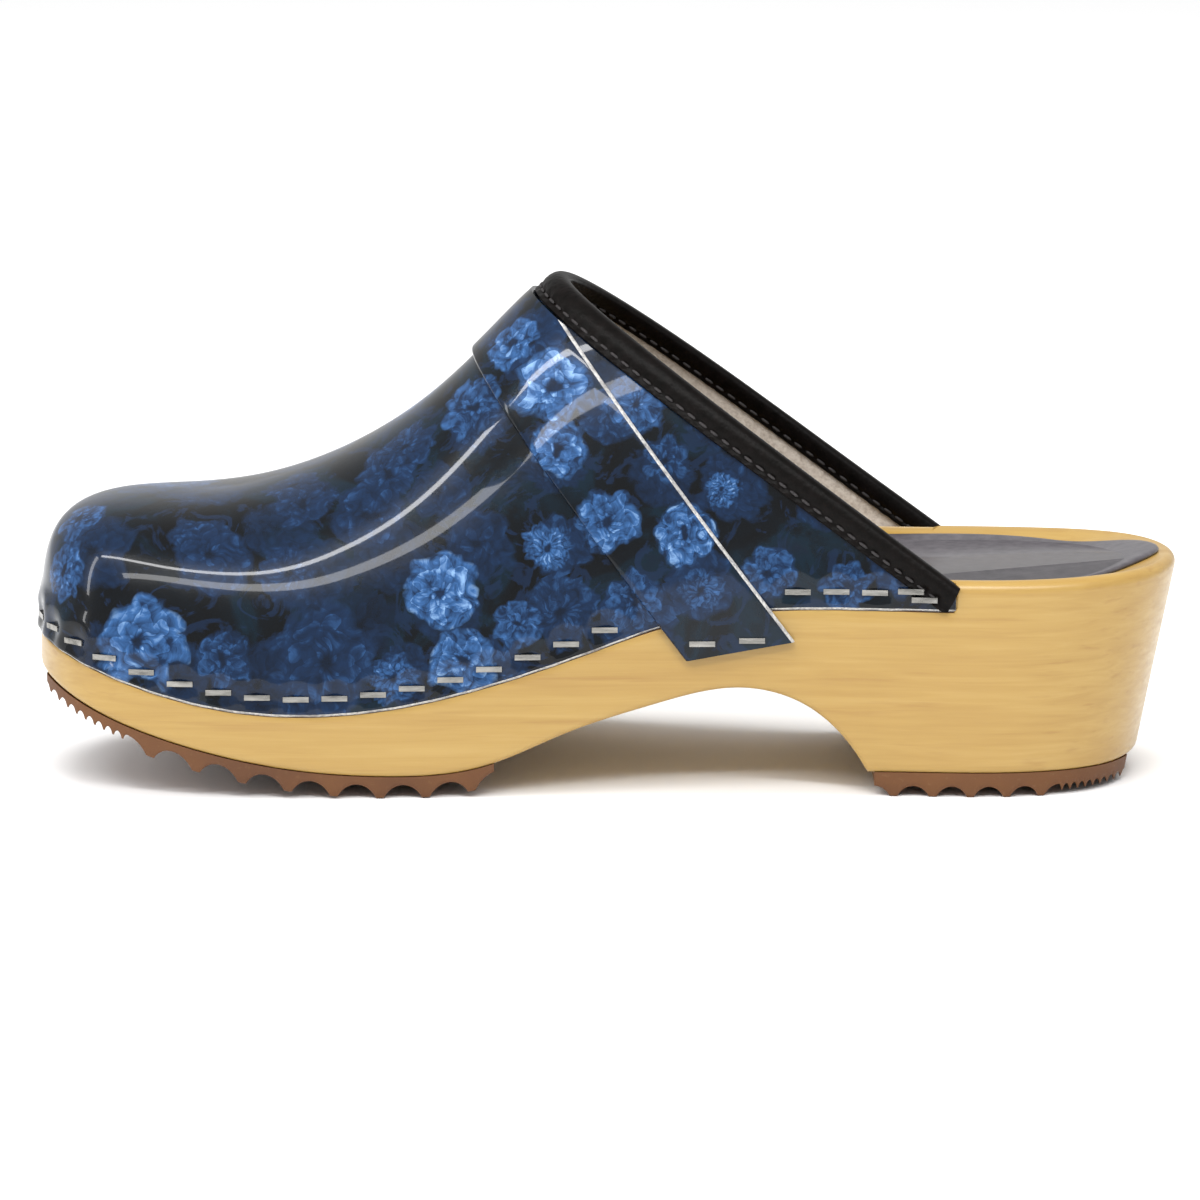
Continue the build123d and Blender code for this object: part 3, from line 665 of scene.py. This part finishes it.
def arch(x, side_of, grow, rows, skirt=0.0):
    """Vertical profiles of the upper from the leather's edge to the ridge, at places x on the outline."""
    y = side_of(x)
    foot = edge_z(x)
    rx = ridge_x(x)
    ry = ridge_y(rx)
    top = ridge_z(rx)
    k = fullness(x) / 100
    out = np.array([x, y]) + 0 * x
    away = np.array([x - rx, y - ry])
    away = away / np.linalg.norm(away, axis=0)
    px, py = out[0] + away[0] * grow, out[1] + away[1] * grow
    rz = top + grow
    shoulder = foot + (rz - foot) * k
    hx, hy = rx + (px - rx) * k, ry + (py - ry) * k
    result = []
    if skirt:
        for s in np.linspace(0, 1, 8)[:-1]:
            result.append(np.column_stack([px, py, foot - skirt * (1 - s)]))
    for t in np.linspace(0, 1, rows):
        b = ((1 - t) ** 3, 3 * t * (1 - t) ** 2, 3 * t * t * (1 - t), t ** 3)
        result.append(np.column_stack([
            b[0] * px + b[1] * px + b[2] * hx + b[3] * rx,
            b[0] * py + b[1] * py + b[2] * hy + b[3] * ry,
            b[0] * foot + b[1] * shoulder + b[2] * rz + b[3] * rz,
        ]))
    return np.array(result)


def staple_places():
    """Middle of each staple's crown in the leather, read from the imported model."""
    places = []
    for node in ("medial_staples", "toe_staples", "lateral_staples"):
        bm = bmesh.new()
        bm.from_mesh(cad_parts[node].data)
        bm.transform(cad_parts[node].matrix_world)
        left = set(bm.verts)
        while left:
            stack = [left.pop()]
            group = [stack[0]]
            while stack:
                for e in stack.pop().link_edges:
                    for v in e.verts:
                        if v in left:
                            left.remove(v)
                            stack.append(v)
                            group.append(v)
            co = np.array([v.co for v in group]) / MM
            heart = [np.clip(co[:, 0].mean(), TOE_POLE_X, HEEL_TIP_X), CLOG_HEART_Y]
            outermost = np.argsort(-np.linalg.norm(co[:, :2] - heart, axis=1))[:8]
            places.append(co[outermost].mean(axis=0))
        bm.free()
    return places


def dent(points, normals):
    """Presses the leather in round each staple, with a slight swelling beside it."""
    moved = points.copy()
    for middle in staples:
        distance = np.linalg.norm(points - middle, axis=1)
        near = distance < DENT_REACH
        r = distance[near]
        depth = DENT_DEPTH * np.exp(-(r / 2.9) ** 2) - SWELLING * np.exp(-((r - 5.0) / 1.8) ** 2)
        moved[near] -= normals[near] * depth[:, None]
    return moved


def grid_normals(grid):
    """Normals of a grid of points, away from the middle of the clog."""
    a = np.gradient(grid, axis=0)
    b = np.gradient(grid, axis=1)
    n = np.cross(a, b)
    n /= np.maximum(np.linalg.norm(n, axis=2, keepdims=True), 1e-9)
    away = grid - np.array([0.0, CLOG_HEART_Y, 20.0])
    away[..., 0] = np.clip(away[..., 0] - TOE_POLE_X, None, 0.0)
    flip = np.sign(np.sum(n * away, axis=2, keepdims=True))
    return n * np.where(flip == 0, 1, flip)


staples = staple_places()
toe_x = X_MIN + (TOE_FAN_X - X_MIN) * np.linspace(0, 1, TOE_COLUMNS) ** 2
side_x = np.linspace(TOE_FAN_X, UPPER_END_X, SIDE_COLUMNS)[1:]
upper_x = np.concatenate([toe_x, side_x])


def upper_mesh(name, grow, x_places, rows, denting=False):
    """An open shell on the form, moved out by grow, with dents and a slanted edge if it is the leather."""
    points = []
    faces = []
    for side_of in (inner_y, outer_y):
        grid = arch(x_places, side_of, grow, rows)
        rows_here = rows
        if denting:
            normals = grid_normals(grid)
            flat = dent(grid.reshape(-1, 3), normals.reshape(-1, 3)).reshape(grid.shape)
            flat[-1] = grid[-1]
            slant = flat[0] - normals[1] * EDGE_SLANT
            flat[0, :, 2] += EDGE_LIFT
            grid = np.concatenate([slant[None], flat])
            rows_here = rows + 1
        faces += grid_faces(rows_here, len(x_places), start=len(points))
        points += list(grid.reshape(-1, 3))
    obj = make_object(name, points, faces, merge=2e-5)
    outwards(obj)
    return obj


def cut(obj, point, normal, fill=False):
    """Takes away what lies beyond a plane, along its normal."""
    bm = bmesh.new()
    bm.from_mesh(obj.data)
    geometry = bm.verts[:] + bm.edges[:] + bm.faces[:]
    result = bmesh.ops.bisect_plane(
        bm, geom=geometry, plane_co=Vector(point) * MM, plane_no=Vector(normal), clear_outer=True, dist=1e-7,
    )
    if fill:
        edges = [g for g in result["geom_cut"] if isinstance(g, bmesh.types.BMEdge)]
        bmesh.ops.holes_fill(bm, edges=edges, sides=0)
    bm.to_mesh(obj.data)
    bm.free()


def line_plane(line, shift):
    """Point and normal of a plane across Y through a side-view line, moved up along its normal."""
    (x0, z0), (x1, z1) = line
    length = math.hypot(x1 - x0, z1 - z0)
    normal = np.array([-(z1 - z0) / length, 0.0, (x1 - x0) / length])
    return np.array([x0, 0.0, z0]) + normal * shift, normal


def thicken(obj, thickness):
    """Gives a shell its thickness inwards, with the flesh side and the cut edge in their own materials."""
    modifier = obj.modifiers.new("thickness", "SOLIDIFY")
    modifier.thickness = thickness * MM
    modifier.offset = -1.0
    modifier.use_rim = True
    modifier.material_offset = 1
    modifier.material_offset_rim = 2


upper = upper_mesh("clog_upper", 0.0, upper_x, UPPER_ROWS, denting=True)
cut(upper, *line_plane(OPENING, -LEATHER_DROP))
cut(upper, (LEATHER_END_X, 0, 0), (1, 0, 0))
for material in (PATENT, FLESH, CUT_EDGE):
    upper.data.materials.append(material)
for polygon in upper.data.polygons:
    c = polygon.center / MM
    if c.z < float(edge_z(c.x)) + 0.6 and polygon.normal.z < -0.25:
        polygon.material_index = 2
declare(upper, "upper")

PUFF_END_X = -88.0
PUFF_THICKNESS = 0.9
puff_x = X_MIN + (TOE_FAN_X - X_MIN) * np.linspace(0, 0.72, 40) ** 2
puff = upper_mesh("clog_toe_puff", -LEATHER - AIR, puff_x, 40)
cut(puff, (PUFF_END_X, 0, 0), (1, 0, 0))
puff.data.materials.append(STIFFENER)
shell = puff.modifiers.new("thickness", "SOLIDIFY")
shell.thickness = PUFF_THICKNESS * MM
shell.offset = -1.0
cut(puff, (-100.0, 0, 36.5), (-0.3, 0, -1.0))
declare(puff, "toe_puff")


# ---------------------------------------------------------------- curves where planes cross the form
def crossing_loop(plane, grow, x_range, columns, floor=None, skirt=0.0):
    """The line in which a plane crosses the form, from the inner side over the ridge to the outer side."""
    point, normal = plane
    xs = x_range[0] + (x_range[1] - x_range[0]) * np.linspace(0, 1, 400) ** 2
    halves = []
    for side_of in (inner_y, outer_y):
        grid = arch(xs, side_of, grow, 140, skirt)
        level = (grid - point) @ normal
        found = []
        for j in range(len(xs)):
            column = level[:, j]
            change = np.nonzero((column[:-1] <= 0) != (column[1:] <= 0))[0]
            if len(change):
                i = change[0]
                t = column[i] / (column[i] - column[i + 1])
                found.append(grid[i, j] + (grid[i + 1, j] - grid[i, j]) * t)
        halves.append(np.array(found))
    line = np.vstack([halves[0][::-1], halves[1]])
    if floor is not None:
        level = (line - floor[0]) @ floor[1]
        keep = np.nonzero(level >= 0)[0]
        first, last = keep[0], keep[-1]
        ends = []
        for inside, outside in ((first, max(first - 1, 0)), (last, min(last + 1, len(line) - 1))):
            t = level[inside] / (level[inside] - level[outside]) if inside != outside else 0.0
            ends.append(line[inside] + (line[outside] - line[inside]) * t)
        line = np.vstack([ends[0], line[first:last + 1], ends[1]])
    s = np.r_[0.0, np.cumsum(np.linalg.norm(np.diff(line, axis=0), axis=1))]
    at = np.linspace(0, s[-1], columns)
    return np.column_stack([np.interp(at, s, line[:, c]) for c in range(3)])


def ridge_crossing(plane, grow):
    """X at which a plane crosses the ridge."""
    xs = np.linspace(-60, 40, 4000)
    level = (np.column_stack([xs, ridge_y(xs), ridge_z(xs) + grow]) - plane[0]) @ plane[1]
    change = np.nonzero((level[:-1] <= 0) != (level[1:] <= 0))[0]
    return float(xs[change[0]])


# ---------------------------------------------------------------- strap
strap_bottom = line_plane(STRAP_BOTTOM, 0.0)
low_face = AIR
high_face = AIR + LEATHER
CUT_BEVEL = 0.55        # width of the pale cut along the strap's rear edge
# Distance back from the strap's front edge, and distance out from the leather's face.
profile = [(0.0, low_face), (0.0, high_face - 0.45), (0.35, high_face - 0.05), (0.5, high_face)]
profile += [(w, high_face) for w in np.linspace(1.5, STRAP_WIDTH - CUT_BEVEL - 0.15, 15)]
profile += [(STRAP_WIDTH - CUT_BEVEL, high_face - 0.03), (STRAP_WIDTH, high_face - 0.8)]
profile.append((STRAP_WIDTH, low_face))
profile += [(w, low_face) for w in np.linspace(STRAP_WIDTH - 4, 4, 5)]
STRAP_COLUMNS = 230
strap_rows = []
for w, grow in profile:
    plane = line_plane(STRAP_FRONT, w)
    start = ridge_crossing(plane, grow)
    strap_rows.append(crossing_loop(plane, grow, (start, 48.0), STRAP_COLUMNS, strap_bottom, 16.0))
points = np.array(strap_rows).reshape(-1, 3)
faces = grid_faces(len(profile), STRAP_COLUMNS, close_rows=True)
for c in (0, STRAP_COLUMNS - 1):
    faces.append([r * STRAP_COLUMNS + c for r in range(len(profile))])
strap = make_object("clog_strap", points, faces, materials=(PATENT, FLESH, CUT_EDGE))
cut(strap, *line_plane(OPENING, -BINDING_HEIGHT - 0.15), fill=True)
sharpen(strap, 50.0)
front_point, front_normal = line_plane(STRAP_FRONT, 0.0)
for polygon in strap.data.polygons:
    across = (np.array(polygon.center) / MM - front_point) @ front_normal
    if across > STRAP_WIDTH - CUT_BEVEL + 0.05:
        polygon.material_index = 2
declare(strap, "instep_strap")


# ---------------------------------------------------------------- binding and its stitches
BINDING_COLUMNS = 420
INNER_SEAM_DROP = 4.2
PUCKERS = 74
PUCKER_DEPTH = 0.28
# Distance below the opening's line, and distance out from the leather's face.
binding_profile = [
    (BINDING_HEIGHT, 0.10), (6.55, 0.85), (6.3, 1.15), (5.7, 1.15), (SEAM_DROP, 0.85), (4.3, 1.25),
    (3.3, 1.55), (2.2, 1.6), (1.2, 1.4), (0.5, 0.95), (0.12, 0.3), (0.0, -0.9), (0.12, -2.1),
    (0.5, -2.75), (1.2, -3.1), (2.2, -3.2), (3.0, -3.2), (3.7, -3.0), (INNER_SEAM_DROP, -2.7),
    (4.7, -2.95), (5.1, -2.95), (5.3, -2.7), (5.35, -1.95),
]
cut_line = line_plane(BINDING_CUT, 0.0)
in_front = (cut_line[0], -cut_line[1] if cut_line[1][0] > 0 else cut_line[1])


def binding_loop(drop, grow, columns):
    """A line round the opening, below its edge and out from the leather."""
    plane = line_plane(OPENING, -drop)
    start = ridge_crossing(plane, grow)
    return crossing_loop(plane, grow, (start, UPPER_END_X + 3.0), columns, in_front)


puckers = 0.5 + 0.5 * np.cos(np.linspace(0, 2 * math.pi * PUCKERS, BINDING_COLUMNS))
binding_rows = []
for drop, grow in binding_profile:
    row = binding_loop(drop, grow, BINDING_COLUMNS)
    if 3.9 < drop < 6.0:
        squeezed = binding_loop(drop, grow - PUCKER_DEPTH * np.sign(grow + LEATHER / 2), BINDING_COLUMNS)
        row = row + (squeezed - row) * puckers[:, None]
    binding_rows.append(row)
points = np.array(binding_rows).reshape(-1, 3)
faces = grid_faces(len(binding_profile), BINDING_COLUMNS, close_rows=True)
for c in (0, BINDING_COLUMNS - 1):
    faces.append([r * BINDING_COLUMNS + c for r in range(len(binding_profile))])
binding = make_object("clog_binding", points, faces, materials=(BINDING, CUT_EDGE))
sharpen(binding, 60.0)
for polygon in binding.data.polygons:
    if len(polygon.vertices) > 6:
        polygon.material_index = 1
declare(binding, "topline_binding")

STITCH_PITCH = 3.1
STITCH_RADIUS = 0.30
STITCH_RINGS = 7
STITCH_SIDES = 8
SEAM_POINTS = 1200
stitch_points = []
stitch_faces = []
for grow, drop in ((1.0, SEAM_DROP), (-2.85, INNER_SEAM_DROP)):
    line = binding_loop(drop, grow, SEAM_POINTS)
    length = np.linalg.norm(np.diff(line, axis=0), axis=1).sum()
    number = int(length / STITCH_PITCH)
    for i in range(1, number - 3 if grow > 0 else number - 1):
        a = line[int((i + 0.14) / number * (SEAM_POINTS - 1))]
        b = line[int((i + 0.86) / number * (SEAM_POINTS - 1))]
        along = (b - a) / np.linalg.norm(b - a)
        side = np.cross(along, [0.0, 0.0, 1.0])
        side /= np.linalg.norm(side)
        up = np.cross(side, along)
        base = len(stitch_points)
        for t in np.linspace(0, 1, STITCH_RINGS):
            radius = STITCH_RADIUS * math.sqrt(max(0.0, 1 - (2 * t - 1) ** 4)) + 0.02
            for k in range(STITCH_SIDES):
                turn_angle = 2 * math.pi * k / STITCH_SIDES
                offset = side * math.cos(turn_angle) + up * math.sin(turn_angle)
                stitch_points.append(a + (b - a) * t + offset * radius)
        stitch_faces += grid_faces(STITCH_RINGS, STITCH_SIDES, close_columns=True, start=base)
        for end in (base, base + (STITCH_RINGS - 1) * STITCH_SIDES):
            stitch_faces.append([end + k for k in range(STITCH_SIDES)])
stitches = make_object("clog_stitches", stitch_points, stitch_faces, materials=(THREAD,), merge=1e-9)
declare(stitches, "binding_thread")


# ---------------------------------------------------------------- heel sock
SOCK_COLUMNS = 360
SOCK_THICKNESS = 1.22
sock_line = spline(SOCK_OUTLINE, SOCK_COLUMNS + 1, closed=True)[:-1]
centre = np.array([62.0, -9.5])
sock_points = []
rings = [(1.0, 0.05), (1.002, 0.5), (0.997, 0.9), (0.985, 1.15), (0.965, SOCK_THICKNESS)]
rings += [(s, SOCK_THICKNESS) for s in (0.92, 0.85, 0.75, 0.6, 0.45, 0.3, 0.15, 0.0)]
for share, lift in rings:
    xy = centre + (sock_line - centre) * share
    z = hollow_z(xy[:, 0], xy[:, 1]) + lift
    sock_points.append(np.column_stack([xy, z]))
points = np.array(sock_points).reshape(-1, 3)
faces = grid_faces(len(rings), SOCK_COLUMNS, close_columns=True)
sock = make_object("clog_heel_sock", points, faces, materials=(SOCK,))
bm = bmesh.new()
bm.from_mesh(sock.data)
bmesh.ops.holes_fill(bm, edges=[e for e in bm.edges if e.is_boundary], sides=0)
bmesh.ops.recalc_face_normals(bm, faces=bm.faces)
bm.to_mesh(sock.data)
bm.free()
declare(sock, "heel_sock")


# ---------------------------------------------------------------- the flower print
FLOWER_SCALE = 1.22
RING_SCALE = 0.75
FLOWER_REACH = 1.6      # a face takes a flower's coordinates within this many of its radii
FAR_AWAY = 9.0          # coordinates of a face that has no flower
# Flowers on the inner side: X, height, radius, petals, lightness, rings of petals.
INNER_FLOWERS = [
    (-119, 48, 6, 9, 0.75, 1.6), (-116, 58, 6, 5, 0.6, 2.4), (-101, 35, 9.5, 7, 0.85, 3.6),
    (-62, 31, 11, 8, 0.42, 3.2), (-70, 49, 6, 12, 0.4, 1.5), (-36.6, 46, 7.5, 6, 1.0, 3.0),
    (-32, 30, 7, 5, 0.95, 3.2), (-47, 27, 5, 9, 0.7, 1.4), (-12, 88, 8, 5, 1.0, 2.6),
    (-11, 75, 6, 6, 0.9, 3.0), (0, 61, 6.5, 7, 0.85, 2.6), (16, 58, 6, 5, 0.95, 2.4),
    (-13.5, 55.5, 5, 14, 0.8, 1.3), (24, 67, 3.4, 14, 0.8, 1.2), (6, 86, 6.5, 9, 0.7, 2.8),
    (-30, 83, 7, 8, 0.6, 2.2), (-20, 95, 6, 6, 0.8, 2.0), (-86, 52, 8, 7, 0.35, 2.6),
    (-52, 60, 8, 6, 0.38, 2.8), (-20, 38, 5, 6, 0.6, 2.2), (5, 43, 6, 8, 0.6, 2.4),
    (-84, 31, 6, 6, 0.5, 2.4), (35, 50, 5.5, 6, 0.6, 2.4), (52, 47, 5, 7, 0.55, 2.0),
    (20, 46, 4.5, 12, 0.6, 1.4), (-66, 62, 7, 6, 0.35, 2.4), (-44, 74, 6.5, 9, 0.4, 2.0),
    (12, 73, 5, 6, 0.5, 2.2),
]
rng = np.random.default_rng(7)


def scattered(target, number, apart, low_light, high_light, low_radius, high_radius):
    """Flowers spread over a surface: position, radius, petals, lightness, rings."""
    flowers = []
    order = rng.permutation(len(target))
    for i in order:
        p = target[i]
        if all(np.linalg.norm(p - f[0]) > apart for f in flowers):
            radius = rng.uniform(low_radius, high_radius)
            petals = int(rng.choice([5, 6, 7, 8, 12]))
            flowers.append((p, radius, petals, rng.uniform(low_light, high_light), rng.uniform(1.2, 2.6)))
        if len(flowers) == number:
            break
    return flowers


def paint(obj, layer, flowers):
    """Gives each face corner the coordinates of the nearest flower, in that flower's own plane."""
    mesh = obj.data
    co = np.empty(len(mesh.vertices) * 3)
    mesh.vertices.foreach_get("co", co)
    co = co.reshape(-1, 3) / MM
    corner_vertex = np.empty(len(mesh.loops), int)
    mesh.loops.foreach_get("vertex_index", corner_vertex)
    centres = np.array([p.center[:] for p in mesh.polygons]) / MM
    best = np.full(len(centres), FLOWER_REACH)
    choice = np.full(len(centres), -1)
    for i, (p, radius, *_) in enumerate(flowers):
        d = np.linalg.norm(centres - p, axis=1) / radius
        closer = d < best
        best[closer] = d[closer]
        choice[closer] = i
    place = np.full((len(corner_vertex), 3), FAR_AWAY)
    style = np.zeros((len(corner_vertex), 3))
    starts = np.array([p.loop_start for p in mesh.polygons])
    totals = np.array([p.loop_total for p in mesh.polygons])
    loop_choice = np.repeat(choice, totals)[np.argsort(np.repeat(starts, totals), kind="stable")]
    for i, (p, radius, petals, light, rings) in enumerate(flowers):
        mine = np.nonzero(loop_choice == i)[0]
        if not len(mine):
            continue
        normal = normal_near(p)
        east = np.cross([0.0, 0.0, 1.0], normal)
        east /= max(np.linalg.norm(east), 1e-6)
        north = np.cross(normal, east)
        turned = rng.uniform(0, 6.28)
        d = (co[corner_vertex[mine]] - p) / radius
        a, b = d @ east, d @ north
        place[mine, 0] = a * math.cos(turned) - b * math.sin(turned)
        place[mine, 1] = a * math.sin(turned) + b * math.cos(turned)
        place[mine, 2] = i * 3.7
        style[mine] = petals, light, rings
    for name, values in ((f"bloom_place_{layer}", place), (f"bloom_style_{layer}", style)):
        attribute = mesh.attributes.new(name, "FLOAT_VECTOR", "CORNER")
        attribute.data.foreach_set("vector", values.ravel())


def surface_of(obj):
    """A mesh's points in mm and its normals."""
    co = np.array([v.co[:] for v in obj.data.vertices]) / MM
    no = np.array([v.normal[:] for v in obj.data.vertices])
    return co, no


upper_co, upper_no = surface_of(upper)
strap_co, strap_no = surface_of(strap)
both_co = np.vstack([upper_co, strap_co])
both_no = np.vstack([upper_no, strap_no])


def normal_near(p):
    """The leather's normal at the point nearest to p."""
    return both_no[int(np.argmin(np.linalg.norm(both_co - p, axis=1)))]


inner_half = upper_co[upper_co[:, 1] < -7.0]
named = []
for x, z, radius, petals, light, rings in INNER_FLOWERS:
    i = int(np.argmin(np.hypot(inner_half[:, 0] - x, inner_half[:, 2] - z)))
    named.append((inner_half[i], radius * FLOWER_SCALE, petals, light, rings * RING_SCALE))
outer_half = upper_co[upper_co[:, 1] > 2.0]
others = scattered(outer_half, 30, 15.0, 0.4, 1.0, 6.0, 10.5)
backs = scattered(upper_co, 70, 13.0, 0.2, 0.42, 7.0, 11.0)
for piece in (upper, strap):
    paint(piece, 1, named + others)
    paint(piece, 2, backs)
thicken(upper, LEATHER)

# ---------------------------------------------------------------- CAD pieces that show as they are
STEEL_NODES = (
    "medial_staples", "toe_staples", "lateral_staples", "strap_staples", "binding_end_staples",
    "forefoot_outsole_nails", "heel_outsole_nails",
)
for node, material in [(node, STEEL) for node in STEEL_NODES] + [("binding_foam", FOAM)]:
    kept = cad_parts[node]
    kept.data.materials.clear()
    kept.data.materials.append(material)


# ---------------------------------------------------------------- stage
floor_material = bpy.data.materials.new("pale_floor")
floor_material.use_nodes = True
floor_shader = floor_material.node_tree.nodes["Principled BSDF"]
floor_shader.inputs["Base Color"].default_value = (0.93, 0.93, 0.93, 1)
floor_shader.inputs["Roughness"].default_value = 0.9
floor_shader.inputs["Specular IOR Level"].default_value = 0.1
bpy.ops.mesh.primitive_plane_add(size=60)
floor = bpy.context.object
floor.name = "floor"
floor.data.materials.append(floor_material)

world = bpy.data.worlds.new("studio")
bpy.context.scene.world = world
world.use_nodes = True
world.node_tree.nodes["Background"].inputs["Color"].default_value = (1, 1, 1, 1)
world.node_tree.nodes["Background"].inputs["Strength"].default_value = 0.75


def area_light(name, place, aim, size, power):
    """A rectangular light at a place, turned towards a point."""
    data = bpy.data.lights.new(name, "AREA")
    data.shape = "RECTANGLE"
    data.size, data.size_y = size
    data.energy = power
    light = bpy.data.objects.new(name, data)
    bpy.context.scene.collection.objects.link(light)
    light.location = place
    light.rotation_euler = (Vector(aim) - Vector(place)).to_track_quat("-Z", "Y").to_euler()
    return light


area_light("key", (-0.3, -0.75, 1.15), LIGHT_AIM, (1.5, 0.06), 9.5)
area_light("second", (0.1, -1.0, 0.95), LIGHT_AIM, (1.5, 0.12), 8.0)
area_light("top", (0.0, 0.1, 1.5), (0.0, 0.0, 0.0), (1.2, 0.8), 16.0).visible_glossy = False
area_light("left", (-1.3, -0.5, 0.7), (0.0, 0.0, 0.05), (0.10, 0.9), 4.0)

TARGET = Vector((-0.0021, 0.0, 0.0353))
DISTANCE = 1.8
VIEW_WIDTH = 0.2667     # metres seen across the picture at the target
ELEVATION = math.radians(11.0)
camera_data = bpy.data.cameras.new("camera")
camera_data.sensor_width = 36.0
camera_data.lens = camera_data.sensor_width * DISTANCE / VIEW_WIDTH
camera = bpy.data.objects.new("camera", camera_data)
bpy.context.scene.collection.objects.link(camera)
camera.location = TARGET + DISTANCE * Vector((0.0, -math.cos(ELEVATION), math.sin(ELEVATION)))
camera.rotation_euler = (math.pi / 2 - ELEVATION, 0.0, 0.0)
bpy.context.scene.camera = camera
bpy.context.scene.view_settings.view_transform = "Standard"
